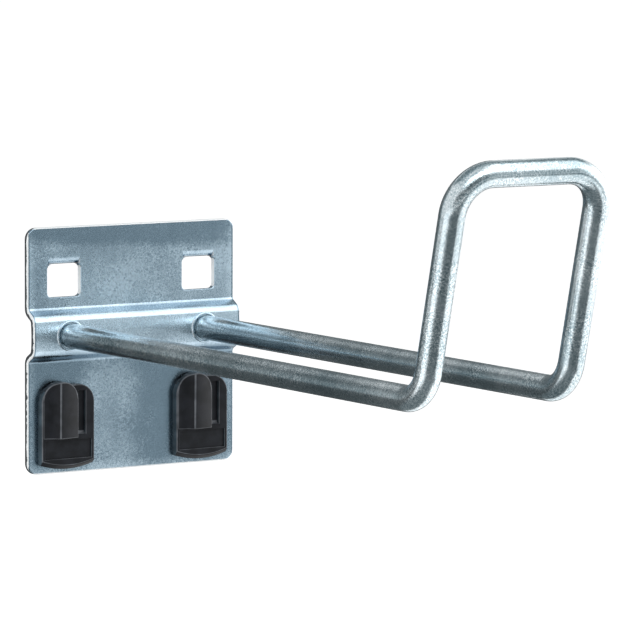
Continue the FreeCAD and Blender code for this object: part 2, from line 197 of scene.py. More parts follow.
class HookLatchSizes(bpy.types.PropertyGroup):
    gap: length("Gap", "Room between the clip and the keyhole, and behind the plate's face", 0.2)
    width: length("Width", "Width and height of the boss", 9.5)
    neck: length("Neck", "Length of the boss before its barbs", 1.75)
    panel_hole: length("Panel hole", "Width of the square holes in the panel", 10.0)
    barb: length("Barb", "How far a barb reaches past the edge of a panel hole", 0.35)
    land: length("Land", "Length of a barb's widest part", 0.4)
    reach: length("Reach", "Length of the boss behind the plate", 4.6)
    tip_in: length("Tip in", "How far the tip tapers in at each side", 1.0)
    split: length("Split", "Width of the split between the two arms", 3.6)
    split_start: length("Split start", "Distance of the split's root behind the plate", 0.8)
    edge: length("Edge", "Width of the moulded round on the latch's edges", 0.12)


class HookFinishes(bpy.types.PropertyGroup):
    sheet_dark: colour("Sheet, dark", "Dark tone of the zinc on the plate", (0.200, 0.277, 0.338))
    sheet_light: colour("Sheet, light", "Light tone of the zinc on the plate",
                        (0.515, 0.635, 0.725))
    cut_dark: colour("Cut, dark", "Dark tone of the zinc on the cut edges", (0.750, 0.800, 0.820))
    cut_light: colour("Cut, light", "Light tone of the zinc on the cut edges",
                      (0.960, 0.980, 0.990))
    # Painted shade: the rear of the plate's cut sides, where the sheet tore off, is painted nearly
    # black as a dark line along the edge
    torn_shade: colour("Torn", "Colour of the rear of the plate's two sides, where the sheet tore off",
                 (0.045, 0.050, 0.055))
    wire_dark: colour("Wire, dark", "Dark tone of the zinc on the wire", (0.270, 0.365, 0.405))
    wire_light: colour("Wire, light", "Light tone of the zinc on the wire", (0.860, 0.920, 0.945))
    plastic: colour("Plastic", "Colour of the moulded clips", (0.0095, 0.0105, 0.0130))
    # Painted reflection: a lighter, bluer plastic for the clips' left sides, standing in for the
    # plate mirrored in them
    plastic_side_reflection: colour("Plastic, sides", "Colour of the clips' left sides",
                         (0.0360, 0.0520, 0.0640))
    # Painted highlight: a lighter, glossier plastic for the clips' rounded edges, standing in for
    # the light they catch
    plastic_edge_highlight: colour("Plastic, edges", "Colour of the clips' rubbed edges",
                         (0.085, 0.092, 0.102))
    floor: colour("Floor", "Colour of the floor", (0.82, 0.82, 0.82))


class Value:
    """A number that changes over a surface. Arithmetic on it adds the nodes that work it out."""

    def __init__(self, shader, socket):
        self.shader = shader
        self.socket = socket

    def maths(self, operation, first, second):
        return self.shader.add("ShaderNodeMath", {"operation": operation}, {0: first, 1: second})

    def __add__(self, other):
        return self.maths("ADD", self, other)

    def __sub__(self, other):
        return self.maths("SUBTRACT", self, other)

    def __rsub__(self, other):
        return self.maths("SUBTRACT", other, self)

    def __mul__(self, other):
        return self.maths("MULTIPLY", self, other)

    def __neg__(self):
        return self * -1

    def __abs__(self):
        return self.shader.add("ShaderNodeMath", {"operation": "ABSOLUTE"}, {0: self})


class Shader:
    """The nodes of one material or of the world."""

    def __init__(self, tree):
        self.tree = tree

    def add(self, kind, settings, sockets, output=0):
        """Add a node of a kind, with its settings made first, and return one of its outputs."""
        node = self.tree.nodes.new(kind)
        for name, setting in settings.items():
            setattr(node, name, setting)
        self.fill(node, sockets)
        return Value(self, node.outputs[output])

    def fill(self, node, sockets):
        """Link what varies to a node's sockets, and set the others."""
        for key, value in sockets.items():
            if isinstance(value, Value):
                self.tree.links.new(value.socket, node.inputs[key])
            else:
                node.inputs[key].default_value = value

    def place(self):
        """The place on the surface, measured from the piece's origin."""
        return self.add("ShaderNodeTexCoord", {}, {}, output="Object")

    def axes(self, place):
        """How far a place lies across, inward and up."""
        return [self.add("ShaderNodeSeparateXYZ", {}, {"Vector": place}, output=axis)
                for axis in "XYZ"]

    def noise(self, place, scale, detail, roughness=0.5):
        return self.add("ShaderNodeTexNoise", {}, {"Vector": place, "Scale": scale,
                                                   "Detail": detail, "Roughness": roughness})

    def ramp(self, value, low, high):
        """Stretch the part of a value between low and high to 0 to 1, with soft ends."""
        return self.add("ShaderNodeMapRange", {"interpolation_type": "SMOOTHSTEP"},
                        {"Value": value, "From Min": low, "From Max": high})

    def mix(self, amount, first, second):
        """Mix two colours."""
        return self.add("ShaderNodeMix", {"data_type": "RGBA"},
                        {0: amount, 6: first, 7: second}, output=2)

    def bump(self, height, strength, depth):
        return self.add("ShaderNodeBump", {},
                        {"Strength": strength, "Distance": depth, "Height": height})


def opaque(tint):
    return (*tint, 1)


def new_material(name):
    """A material with its shader and the node of its surface."""
    material = bpy.data.materials.new(name)
    material.use_nodes = True
    return material, Shader(material.node_tree), material.node_tree.nodes["Principled BSDF"]


def zinc(name, dark, light, roughness, sparkle, metallic=1.0, plate=None, torn_shade=None):
    """Bright zinc plating: a fine speckle over slow clouds of tone, and shallow dents.

    On the faces of the plate it carries painted highlights and painted shade. On its cut
    edges, the rear, where the sheet tore off, is painted dark as painted shade along the edge.
    """
    rough_spread, dent_weight = 0.10, 1.6
    material, shader, principled = new_material(name)
    place = shader.place()
    cloud = shader.noise(place, CLOUD_SCALE, detail=3)
    patch = shader.ramp(shader.noise(place, PATCH_SCALE, detail=2), *PATCH_RAMP)
    speckle = shader.noise(place, SPECKLE_SCALE, detail=3, roughness=0.7)
    amount = patch * (PATCHED_SPECKLE * sparkle) + EVEN_SPECKLE * sparkle
    tone = (speckle - MIDDLE) * amount + (cloud - MIDDLE) * CLOUDS + MIDDLE
    # Painted highlights and painted shade on the plate's faces
    if plate and not torn_shade:
        tone = tone + painted_light_and_shade(shader, place, plate)
    tint = shader.mix(shader.ramp(tone, *ZINC_RAMP), opaque(dark), opaque(light))
    # Painted shade on the rear of the cut sides
    if torn_shade:
        tint = shader.mix(torn_rear_shade(shader, place, plate), tint, opaque(torn_shade))
    dents = shader.noise(place, DENT_SCALE, detail=2)
    shader.fill(principled, {
        "Base Color": tint,
        "Roughness": speckle * rough_spread + cloud * rough_spread + (roughness - rough_spread),
        "Normal": shader.bump(speckle * amount + dents * dent_weight,
                              strength=0.8, depth=0.042 * MM),
        "Metallic": metallic,
    })
    return material


def painted_light_and_shade(shader, place, plate):
    """How much painted highlight lies on the ridge and the rims, less the painted shade on the
    rest.

    The painted shade lies on the top, on the foot to both sides of its middle, and as a painted
    shadow on the strip under the ridge; a thin painted dark line runs along each side. The top's
    border slants, and the foot's bright middle is shifted to the left.
    """
    across, depth, up = shader.axes(place)
    half, foot, rim = plate.width / 2, plate.height - plate.top, 2 * plate.sheet
    # Painted highlight on the ridge's face, and painted highlight in a band along the sides and the
    # foot
    ridge = shader.ramp(-depth, plate.sheet + 0.6 * plate.ridge_rise,
                        plate.sheet + plate.ridge_rise)
    rims = shader.ramp(abs(across), half - rim, half) + shader.ramp(-up, foot - rim, foot)
    slant, shift = 0.06, 6 * MM
    under = plate.ridge_below
    # Painted shade: a darker band under the top edge, and a darker foot to both sides of its
    # middle, where the sheet's slight warp mirrors less light
    top = shader.ramp(up + across * slant, plate.top - 6.5 * MM, plate.top - 3 * MM)
    aside = shader.ramp(abs(across + shift), 3 * MM, 13 * MM)
    low = shader.ramp(-up, under + 3 * MM, under + 7 * MM)
    # Painted shadow under the ridge, strongest close below it and fading out further down
    strip_start = shader.ramp(-up, under, under + 1 * MM)
    strip_end = shader.ramp(-up, under + 5 * MM, under + 15 * MM)
    # Painted shade: a thin dark line just inside the round along each side
    line = shader.ramp(abs(across), half - 0.75 * MM, half - 0.50 * MM)
    return (ridge * PAINTED_RIDGE_HIGHLIGHT + rims * PAINTED_RIM_HIGHLIGHT - line * PAINTED_SIDE_LINE_SHADE - top * PAINTED_TOP_SHADE
            - aside * low * PAINTED_FOOT_SHADE - strip_start * (1 - strip_end) * PAINTED_SHADOW_UNDER_RIDGE)


def torn_rear_shade(shader, place, plate):
    """1 on the rear of the plate's two sides, where the sheet tore off and painted shade darkens
    the edge, with a ragged border.
    """
    raggedness = 1.1 * MM
    border_from, border_to = -0.80 * plate.sheet, -0.70 * plate.sheet
    across, depth, up = shader.axes(place)
    side = shader.ramp(abs(across), plate.width / 2 - 3 * MM, plate.width / 2 - 2 * MM)
    flat = plate.ridge_flat / 2
    ridge = 1 - shader.ramp(abs(up + plate.ridge_below), flat, flat + plate.ridge_rise)
    ragged = (shader.noise(place, RAGGED_SCALE, detail=2) - MIDDLE) * raggedness
    from_rear = depth + ridge * plate.ridge_rise + ragged
    return side * shader.ramp(from_rear, border_from, border_to)


def black_plastic(name, tint, roughness):
    """Moulded plastic with the fine grain of a spark-eroded mould."""
    lighter = tuple(1.7 * channel for channel in tint)
    rough_spread, sheen = 0.20, 0.16
    material, shader, principled = new_material(name)
    place = shader.place()
    cloud = shader.noise(place, PLASTIC_CLOUD_SCALE, detail=2)
    grain = shader.noise(place, PLASTIC_GRAIN_SCALE, detail=2, roughness=0.6)
    shader.fill(principled, {
        "Base Color": shader.mix(shader.ramp(cloud, *PLASTIC_RAMP), opaque(tint), opaque(lighter)),
        "Roughness": grain * rough_spread + (roughness - rough_spread / 2),
        "Normal": shader.bump(grain, strength=0.30, depth=0.03 * MM),
        "Specular IOR Level": sheen,
    })
    return material


def deselect_all():
    if bpy.context.mode != "OBJECT":
        bpy.ops.object.mode_set(mode="OBJECT")
    bpy.ops.object.select_all(action="DESELECT")


def settle(name):
    """Name the new primitive, and move its place, turn and scale into its mesh."""
    piece = bpy.context.object
    piece.name = name
    piece.data.name = name
    bpy.ops.object.transform_apply(location=True, rotation=True, scale=True)
    return piece


def make_active(piece):
    deselect_all()
    piece.select_set(True)
    bpy.context.view_layer.objects.active = piece


def edit(piece):
    make_active(piece)
    bpy.ops.object.mode_set(mode="EDIT")


def leave_edit():
    bpy.ops.object.mode_set(mode="OBJECT")


def select(piece, kind, wanted):
    """In edit mode, select only the VERT, EDGE or FACE elements that pass a test."""
    bpy.ops.mesh.select_mode(type=kind)
    bpy.ops.mesh.select_all(action="DESELECT")
    mesh = bmesh.from_edit_mesh(piece.data)
    mesh.normal_update()
    elements = {"VERT": mesh.verts, "EDGE": mesh.edges, "FACE": mesh.faces}[kind]
    for element in elements:
        if wanted(element):
            element.select_set(True)
    mesh.select_flush_mode()
    bmesh.update_edit_mesh(piece.data)


def close_to(value, target, slack=0.01 * MM):
    return abs(value - target) < slack


def ends_at(edge, axis, target):
    """True if both ends of an edge lie at one level of an axis: 0 across, 1 inward, 2 up."""
    return all(close_to(vertex.co[axis], target) for vertex in edge.verts)


def spans(edge, axis):
    """True if an edge runs along one axis."""
    run = edge.verts[1].co - edge.verts[0].co
    return run.length > 0 and abs(run[axis]) > 0.999 * run.length


def round_edges(width, segments=EDGE_STEPS):
    """In edit mode, round the selected edges."""
    bpy.ops.mesh.bevel(offset=width, segments=segments, affect="EDGES")


def round_points(radius, segments):
    """In edit mode, round the selected corners of a sheet."""
    bpy.ops.mesh.bevel(offset=radius, segments=segments, affect="VERTICES")


def slice_at(place, normal):
    """In edit mode, divide every face that a plane crosses."""
    bpy.ops.mesh.select_all(action="SELECT")
    bpy.ops.mesh.bisect(plane_co=place, plane_no=normal)


def merge_close(distance):
    """In edit mode, select all and merge what lies close together."""
    bpy.ops.mesh.select_all(action="SELECT")
    bpy.ops.mesh.remove_doubles(threshold=distance)


def apply_modifier(piece, kind, **settings):
    make_active(piece)
    modifier = piece.modifiers.new(kind.title(), kind)
    for name, setting in settings.items():
        setattr(modifier, name, setting)
    bpy.ops.object.modifier_apply(modifier=modifier.name)


def thicken(piece, sheet):
    """Give a sheet its thickness, half of it to each side."""
    apply_modifier(piece, "SOLIDIFY", thickness=sheet, offset=0, use_even_offset=True)


def combine(piece, operation, *tools):
    """Cut the tools out of a piece, or join them on, and take the tools away."""
    for tool in tools:
        apply_modifier(piece, "BOOLEAN", operation=operation, solver="EXACT", object=tool)
        bpy.data.objects.remove(tool)


def clean_up(piece, distance=0.004 * MM):
    """Merge what the cuts left close together, and turn every face outwards."""
    edit(piece)
    merge_close(distance)
    bpy.ops.mesh.normals_make_consistent(inside=False)
    leave_edit()


def shade(piece, degrees):
    """Shade the rounds smoothly, and keep the flats between them flat."""
    make_active(piece)
    bpy.ops.object.shade_smooth_by_angle(angle=math.radians(degrees))
    apply_modifier(piece, "WEIGHTED_NORMAL", keep_sharp=True)


def paint(piece, material, wanted=lambda face: True):
    """Give the faces that pass a test a material."""
    piece.data.materials.append(material)
    mesh = bmesh.new()
    mesh.from_mesh(piece.data)
    for face in mesh.faces:
        if wanted(face):
            face.material_index = len(piece.data.materials) - 1
    mesh.to_mesh(piece.data)
    mesh.free()


class Pen:
    """Carries the selected edges or faces along a line of runs and bends."""

    def __init__(self, at, heading):
        self.at = Vector(at)
        self.heading = Vector(heading).normalized()

    def run(self, distance):
        step = self.heading * distance
        bpy.ops.mesh.extrude_region_move(TRANSFORM_OT_translate={"value": step})
        self.at += step

    def bend(self, angle, radius, axis, steps):
        """Turn by an angle, by the right-hand rule about the axis."""
        centre = self.at + axis.cross(self.heading) * radius
        bpy.ops.mesh.spin(steps=steps, angle=angle, center=centre, axis=-axis)
        turn = Matrix.Rotation(angle, 3, axis)
        self.at = centre + turn @ (self.at - centre)
        self.heading = turn @ self.heading


def start_sheet(name, width, at, height):
    """A flat strip as wide as asked that hangs down from a point, with its lower edge selected."""
    deselect_all()
    middle = Vector(at) - UP * height / 2
    bpy.ops.mesh.primitive_plane_add(size=1, location=middle, rotation=INTO_WALL)
    bpy.context.object.scale = (width, height, 1)
    piece = settle(name)
    edit(piece)
    select(piece, "EDGE", lambda edge: ends_at(edge, 2, at[2] - height))
    return piece, Pen(Vector(at) - UP * height, -UP)


def box(name, low, high):
    deselect_all()
    low, high = Vector(low), Vector(high)
    bpy.ops.mesh.primitive_cube_add(size=1, location=(low + high) / 2)
    bpy.context.object.scale = high - low
    return settle(name)


def round_bar(name, centre, radius, depth):
    """A cylinder that points into the wall, with a flat and not a corner at its side."""
    deselect_all()
    bpy.ops.mesh.primitive_cylinder_add(vertices=BAR_FACETS, radius=radius, depth=depth,
                                        location=centre,
                                        rotation=(QUARTER_TURN, math.pi / BAR_FACETS, 0))
    return settle(name)


def round_corners(piece, radius, wanted, segments):
    """Round the edges of a block that run into the wall and pass a test of their middle."""
    edit(piece)
    select(piece, "EDGE", lambda edge: spans(edge, 1)
           and wanted((edge.verts[0].co + edge.verts[1].co) / 2))
    round_edges(radius, segments)
    leave_edit()


def flare(tool, surface, margin):
    """Widen a cutter in front of a surface, so that the rim of what it cuts looks worn."""
    edit(tool)
    for depth in (surface - margin / 2, surface + margin / 2):
        slice_at((0, depth, 0), INWARD)
    corners = [Vector(corner) for corner in tool.bound_box]
    low, high = corners[0], corners[6]
    widen = [(high[axis] - low[axis] + 2 * margin) / (high[axis] - low[axis]) for axis in (0, 2)]
    select(tool, "VERT", lambda vertex: vertex.co.y < surface)
    bpy.ops.transform.resize(value=(widen[0], 1, widen[1]), center_override=(low + high) / 2)
    leave_edit()


def folded_lug(plate, x):
    """A tongue of the sheet, folded back through the panel and up behind it."""
    hanging = 1.5 * plate.sheet
    root = (x, -plate.sheet / 2, plate.sheet + plate.lug_bend + hanging)
    piece, pen = start_sheet("lug", plate.lug_width, root, hanging)
    middle = plate.lug_bend + plate.sheet / 2
    pen.bend(QUARTER_TURN, middle, ACROSS, LUG_STEPS)
    pen.run(plate.lug_reach - 2 * plate.lug_bend)
    pen.bend(QUARTER_TURN, middle, ACROSS, LUG_STEPS)
    pen.run(plate.lug_rise)
    tip = pen.at.z
    select(piece, "VERT", lambda vertex: close_to(vertex.co.z, tip))
    round_points(plate.lug_round, LUG_STEPS)
    leave_edit()
    thicken(piece, plate.sheet)
    return piece


def window_tools(plate, x):
    """The cutters for a window: its opening, and the room in front of the lug's bend."""
    half = plate.window_width / 2
    opening = box("window", (x - half, -2 * plate.sheet, -plate.window_height),
                  (x + half, plate.sheet, 0))
    round_corners(opening, plate.window_corner, lambda middle: True, WINDOW_STEPS)
    flare(opening, -plate.sheet, plate.edge)
    half = plate.lug_width / 2
    bend_room = box("bend_room", (x - half, -2 * plate.sheet, 0),
                    (x + half, plate.sheet, plate.sheet + plate.lug_bend))
    return opening, bend_room


class HOOK_OT_back_plate(bpy.types.Operator):
    """Fold the ridged plate from one sheet, and cut its windows, lugs, keyholes and wire holes"""
    bl_idname = "hook.back_plate"
    bl_label = "Back plate"

    def execute(self, context):
        plate, wire = context.scene.hook_plate, context.scene.hook_wire
        finishes = context.scene.hook_finishes
        piece = fold_plate(plate)
        for side in (LEFT, RIGHT):
            x = side * plate.pitch / 2
            foot = (x, -plate.sheet - plate.ridge_rise, -plate.ridge_below)
            combine(piece, "DIFFERENCE", *window_tools(plate, x))
            combine(piece, "UNION", folded_lug(plate, x))
            combine(piece, "DIFFERENCE", *keyhole(plate, x, 0, -2 * plate.sheet, plate.sheet))
            combine(piece, "DIFFERENCE",
                    round_bar("hole", foot, wire.tenon / 2 + wire.tenon_gap, 6 * plate.sheet))
            combine(piece, "UNION", bead(foot, plate.seat_radius, plate.seat_bead))
        clean_up(piece)
        shade(piece, SMOOTH_MOULDING)
        paint(piece, zinc("Plate zinc", finishes.sheet_dark, finishes.sheet_light,
                          roughness=0.27, sparkle=0.65, plate=plate))
        # Bright cut zinc on the sheared sides and ends, and on their rounds as a painted highlight
        # along the rim
        paint(piece, zinc("Cut zinc", finishes.cut_dark, finishes.cut_light,
                          roughness=0.55, sparkle=0.8, metallic=0.1, plate=plate,
                          torn_shade=finishes.torn_shade),
              lambda face: is_cut_edge(face, plate))
        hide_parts("back_plate")
        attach(piece, "root")
        return {"FINISHED"}


def fold_plate(plate):
    """The sheet with its ridge and its rounded corners and edges, before anything is cut."""
    web, crown = plate.ridge_web, plate.ridge_crown
    middle = plate.ridge_bend + plate.sheet / 2
    crown_radius = plate.ridge_flat / 2 / math.sin(crown / 2)
    bends_rise = middle * (1 + math.cos(crown / 2) - 2 * math.cos(web))
    crown_rise = crown_radius * (1 - math.cos(crown / 2))
    web_run = (plate.ridge_rise - bends_rise - crown_rise) / math.sin(web)
    half_ridge = (plate.ridge_flat / 2 + middle * (2 * math.sin(web) - math.sin(crown / 2))
                  + web_run * math.cos(web))
    piece, pen = start_sheet("back_plate_zinc", plate.width, (0, -plate.sheet / 2, plate.top),
                             plate.top + plate.ridge_below - half_ridge)
    pen.bend(web, middle, -ACROSS, RIDGE_STEPS)
    pen.run(web_run)
    pen.bend(web - crown / 2, middle, ACROSS, RIDGE_STEPS)
    pen.bend(crown, crown_radius, ACROSS, CROWN_STEPS)
    pen.bend(web - crown / 2, middle, ACROSS, RIDGE_STEPS)
    pen.run(web_run)
    pen.bend(web, middle, -ACROSS, RIDGE_STEPS)
    foot = plate.top - plate.height
    pen.run(pen.at.z - foot)
    select(piece, "VERT", lambda vertex: close_to(vertex.co.z, foot)
           or close_to(vertex.co.z, plate.top))
    round_points(plate.corner, PLATE_CORNER_STEPS)
    leave_edit()
    thicken(piece, plate.sheet)
    edit(piece)
    select(piece, "EDGE", lambda edge: edge.calc_face_angle(0) > SHARP_SHEET)
    round_edges(plate.edge)
    leave_edit()
    return piece


def is_cut_edge(face, plate):
    """True for what the shears left: the sheet's sides and ends, with their rounds. On the rounds
    the bright cut zinc is also a painted highlight along the rim.
    """
    normal, middle = face.normal, face.calc_center_median()
    rim = 1.2 * plate.edge
    near_side = abs(middle.x) > plate.width / 2 - rim
    near_end = not plate.top - plate.height + rim < middle.z < plate.top - rim
    is_tilted = max(abs(normal.x), abs(normal.z)) > TILTED
    return abs(normal.x) > TO_THE_SIDE or (near_side or near_end) and is_tilted


def bead(place, radius, thickness):
    """A ring that stands half out of the sheet."""
    deselect_all()
    bpy.ops.mesh.primitive_torus_add(location=place, rotation=INTO_WALL, major_radius=radius,
                                     minor_radius=thickness, major_segments=WIRE_FACETS,
                                     minor_segments=BEAD_FACETS)
    return settle("bead")


def keyhole(plate, x, inset, y_from, y_to):
    """The round head and the slot below it that the clip is keyed through."""
    place = (x - plate.head_shift, (y_from + y_to) / 2, -plate.head_below)
    head = round_bar("head", place, plate.head_radius - inset, y_to - y_from)
    half = plate.slot / 2 - inset
    foot = -plate.hole_below - plate.pitch - half
    slot = box("slot", (x - half, y_from, foot), (x + half, y_to, -plate.head_below))
    return head, slot


class HOOK_OT_wire_loop(bpy.types.Operator):
    """Sweep the round wire along its prongs and loop, with a riveted foot at each end"""
    bl_idname = "hook.wire_loop"
    bl_label = "Wire loop"

    def execute(self, context):
        plate, wire = context.scene.hook_plate, context.scene.hook_wire
        finishes = context.scene.hook_finishes
        x, z = -plate.pitch / 2, -plate.ridge_below
        outline = foot_outline(plate, wire)
        back_y, back_radius = outline[0]
        deselect_all()
        bpy.ops.mesh.primitive_circle_add(vertices=WIRE_FACETS, radius=back_radius,
                                          fill_type="NOTHING", location=(x, back_y, z),
                                          rotation=INTO_WALL)
        piece = settle("wire_loop_zinc")
        edit(piece)
        bpy.ops.mesh.select_all(action="SELECT")
        turn_foot(x, z, outline)
        heel_turn = QUARTER_TURN - wire.lean
        heel = wire.bend * math.tan(heel_turn / 2)
        prong = wire.prong + wire.wire / 2 - wire.chamfer - heel
        upright = wire.rise / math.cos(wire.lean) - heel - wire.bend
        loop_axis = ACROSS.cross(Vector((0, -math.sin(wire.lean), math.cos(wire.lean))))
        pen = Pen((x, outline[-1][0], z), -INWARD)
        pen.run(prong)
        pen.bend(heel_turn, wire.bend, -ACROSS, HEEL_STEPS)
        pen.run(upright)
        pen.bend(QUARTER_TURN, wire.bend, -loop_axis, LOOP_STEPS)
        pen.run(plate.pitch - 2 * wire.bend)
        pen.bend(QUARTER_TURN, wire.bend, -loop_axis, LOOP_STEPS)
        pen.run(upright)
        pen.bend(heel_turn, wire.bend, ACROSS, HEEL_STEPS)
        pen.run(prong)
        turn_foot(-x, z, outline[::-1])
        bpy.ops.mesh.select_all(action="SELECT")
        bpy.ops.mesh.fill_holes(sides=0)
        leave_edit()
        clean_up(piece, 0.001 * MM)
        make_active(piece)
        bpy.ops.object.shade_smooth_by_angle(angle=math.radians(SMOOTH_WIRE))
        paint(piece, zinc("Wire zinc", finishes.wire_dark, finishes.wire_light,
                          roughness=0.22, sparkle=1.05))
        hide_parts("wire_loop")
        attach(piece, "root")
        return {"FINISHED"}


def foot_outline(plate, wire):
    """The depths and radii of a foot, from its riveted head to the wire in front of the ridge."""
    front = -plate.sheet - plate.ridge_rise
    back = front + plate.sheet
    outline = []
    for part in range(RIVET_STEPS + 1):
        turn = part * QUARTER_TURN / RIVET_STEPS
        outline.append((back + wire.rivet_height - wire.rivet_round * (1 - math.cos(turn)),
                        wire.rivet / 2 - wire.rivet_round * (1 - math.sin(turn))))
    return outline + [
        (back, wire.rivet / 2),
        (back, wire.tenon / 2),
        (front, wire.tenon / 2),
        (front, wire.wire / 2 - wire.chamfer),
        (front - wire.chamfer, wire.wire / 2),
    ]


def turn_foot(x, z, outline):
    """Carry the ring through a list of depths and radii, as a lathe would."""
    for (y_before, radius_before), (y_after, radius_after) in zip(outline, outline[1:]):
        bpy.ops.mesh.extrude_region_move(
            TRANSFORM_OT_translate={"value": (0, y_after - y_before, 0)})
        ratio = radius_after / radius_before
        bpy.ops.transform.resize(value=(ratio, 1, ratio), center_override=(x, y_after, z))


class HOOK_OT_clips(bpy.types.Operator):
    """Mould the two locking clips with their grips, grooves and split latches"""
    bl_idname = "hook.clips"
    bl_label = "Clips"

    def execute(self, context):
        plate, clip = context.scene.hook_plate, context.scene.hook_clip
        latch, finishes = context.scene.hook_latch, context.scene.hook_finishes
        plastic = black_plastic("Clip plastic", finishes.plastic, roughness=0.36)
        # Painted reflection: a lighter copy of the plastic for the faces turned to the left
        sides = black_plastic("Clip plastic, sides", finishes.plastic_side_reflection, roughness=0.30)
        # Painted highlight: a lighter copy of the plastic for the narrow rounds on the edges
        worn = black_plastic("Clip plastic, edges", finishes.plastic_edge_highlight, roughness=0.24)
        for side, node in ((LEFT, "clip_left"), (RIGHT, "clip_right")):
            x = side * plate.pitch / 2
            piece = clip_body(plate, clip, x, node + "_moulding")
            combine(piece, "UNION", clip_grip(plate, clip, x))
            combine(piece, "DIFFERENCE", groove_tool(plate, clip, x), field_tool(plate, clip, x))
            combine(piece, "UNION",
                    *keyhole(plate, x, latch.gap, -plate.sheet - latch.gap, -latch.gap))
            combine(piece, "UNION", clip_latch(plate, latch, x))
            clean_up(piece)
            shade(piece, SMOOTH_MOULDING)
            paint(piece, plastic)
            # Painted reflection on the faces turned to the left
            paint(piece, sides, lambda face: face.normal.x < TO_THE_LEFT
                  and face.calc_center_median().y < -plate.sheet)
            # Painted highlight on the rounded edges that do not face down
            paint(piece, worn, lambda face: face.normal.z > DOWN and is_round(face, clip.edge))
            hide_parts(node)
            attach(piece, "root")
        return {"FINISHED"}


def is_round(face, width):
    """True for one of the narrow faces that round off an edge."""
    return face.calc_area() < 0.95 * width * max(edge.calc_length() for edge in face.edges)


def clip_body(plate, clip, x, name):
    """The flange: a band drawn round its outline, closed in front and behind."""
    half = clip.width / 2
    front, back = -plate.sheet - clip.body, -plate.sheet
    foot = -clip.top - clip.side
    straight = clip.side - clip.corner
    middle = (x - half, (front + back) / 2, foot + straight / 2)
    deselect_all()
    bpy.ops.mesh.primitive_plane_add(size=1, location=middle, rotation=(0, QUARTER_TURN, 0))
    bpy.context.object.scale = (straight, clip.body, 1)
    piece = settle(name)
    edit(piece)
    select(piece, "EDGE", lambda edge: ends_at(edge, 2, foot + straight))
    pen = Pen((x - half, middle[1], foot + straight), UP)
    pen.bend(QUARTER_TURN, clip.corner, INWARD, CLIP_CORNER_STEPS)
    pen.run(clip.width - 2 * clip.corner)
    pen.bend(QUARTER_TURN, clip.corner, INWARD, CLIP_CORNER_STEPS)
    pen.run(straight)
    chin_radius = (half ** 2 + clip.chin ** 2) / (2 * clip.chin)
    chin_turn = 2 * math.asin(half / chin_radius)
    centre = Vector((x, middle[1], foot - clip.chin + chin_radius))
    bpy.ops.mesh.spin(steps=CHIN_STEPS, angle=chin_turn, center=centre, axis=-INWARD)
    merge_close(0.02 * MM)
    bpy.ops.mesh.fill_holes(sides=0)
    bpy.ops.mesh.normals_make_consistent(inside=False)
    select(piece, "EDGE", lambda edge: ends_at(edge, 1, front)
           and all(vertex.co.z < foot + 0.01 * MM for vertex in edge.verts))
    round_edges(clip.chin_chamfer, segments=1)
    select(piece, "EDGE", lambda edge: ends_at(edge, 1, front))
    round_edges(clip.edge)
    leave_edit()
    return piece


def grip_depth(clip, across):
    """How far the grip's front stands before the body, at a distance from its left side."""
    if across <= clip.crest_place:
        along = across / clip.crest_place
        rise = clip.grip_proud + (clip.crest - clip.grip_proud) * along
        return rise - 4 * clip.scoop * along * (1 - along)
    along = (across - clip.crest_place) / (clip.grip_width - clip.crest_place)
    rise = clip.crest + (clip.shoulder - clip.crest) * along
    return rise + 4 * clip.crown * along * (1 - along)


def grip_left(clip, x):
    return x - clip.width / 2 + clip.grip_inset


def clip_grip(plate, clip, x):
    """An arched block whose front is pulled out column by column to scoop, crest and crown."""
    left = grip_left(clip, x)
    radius = clip.grip_width / 2
    top = -clip.top + clip.grip_above
    front = -plate.sheet - clip.body
    back = -plate.sheet - clip.grip_lift
    block = box("grip", (left, front, top - clip.grip_length), (left + clip.grip_width, back, top))
    round_corners(block, FULL_ROUND * radius, lambda middle: middle.z > top - clip.grip_length / 2,
                  GRIP_STEPS)
    edit(block)
    beyond_crest = clip.grip_width - clip.crest_place
    columns = [clip.crest_place * part / GRIP_COLUMNS for part in range(1, GRIP_COLUMNS + 1)]
    columns += [clip.crest_place + beyond_crest * part / GRIP_COLUMNS
                for part in range(1, GRIP_COLUMNS)]
    for across in columns:
        slice_at((left + across, 0, 0), ACROSS)
    merge_close(0.05 * MM)
    mesh = bmesh.from_edit_mesh(block.data)
    for vertex in mesh.verts:
        if close_to(vertex.co.y, front):
            vertex.co.y -= grip_depth(clip, vertex.co.x - left)
    bmesh.update_edit_mesh(block.data)
    select(block, "EDGE", lambda edge: edge.calc_face_angle(0) > SHARP_GRIP
           and ends_at(edge, 0, left + clip.crest_place))
    round_edges(clip.edge / 2)
    select(block, "EDGE", lambda edge: edge.calc_face_angle(0) > SHARP_GRIP
           and not spans(edge, 1) and not ends_at(edge, 1, back))
    round_edges(clip.edge)
    leave_edit()
    return block


def groove_tool(plate, clip, x):
    """The cutter of the groove beside the grip, with a round foot."""
    front = -plate.sheet - clip.body
    depth = front + clip.groove_depth
    left = grip_left(clip, x) + clip.grip_width + 1.2 * clip.edge
    right = grip_left(clip, x) + clip.grip_width + clip.groove_width
    foot = -clip.top + clip.grip_above - clip.grip_length + clip.groove_foot
    tool = box("groove", (left, front - clip.crest, foot),
               (right, depth, -clip.top - clip.groove_top))
    edit(tool)
    select(tool, "EDGE", lambda edge: ends_at(edge, 2, foot) and ends_at(edge, 1, depth))
    round_edges(clip.groove_round, GROOVE_STEPS)
    leave_edit()
    flare(tool, front, clip.edge)
    return tool


def field_tool(plate, clip, x):
    """The cutter of the bare panel below the grip."""
    front = -plate.sheet - clip.body
    half = clip.width / 2 - clip.field_margin
    top = -clip.top + clip.grip_above - clip.grip_length - clip.field_drop
    tool = box("field", (x - half, front - clip.crest, top - clip.field_height),
               (x + half, front + clip.field_depth, top))
    flare(tool, front, clip.edge / 2)
    return tool


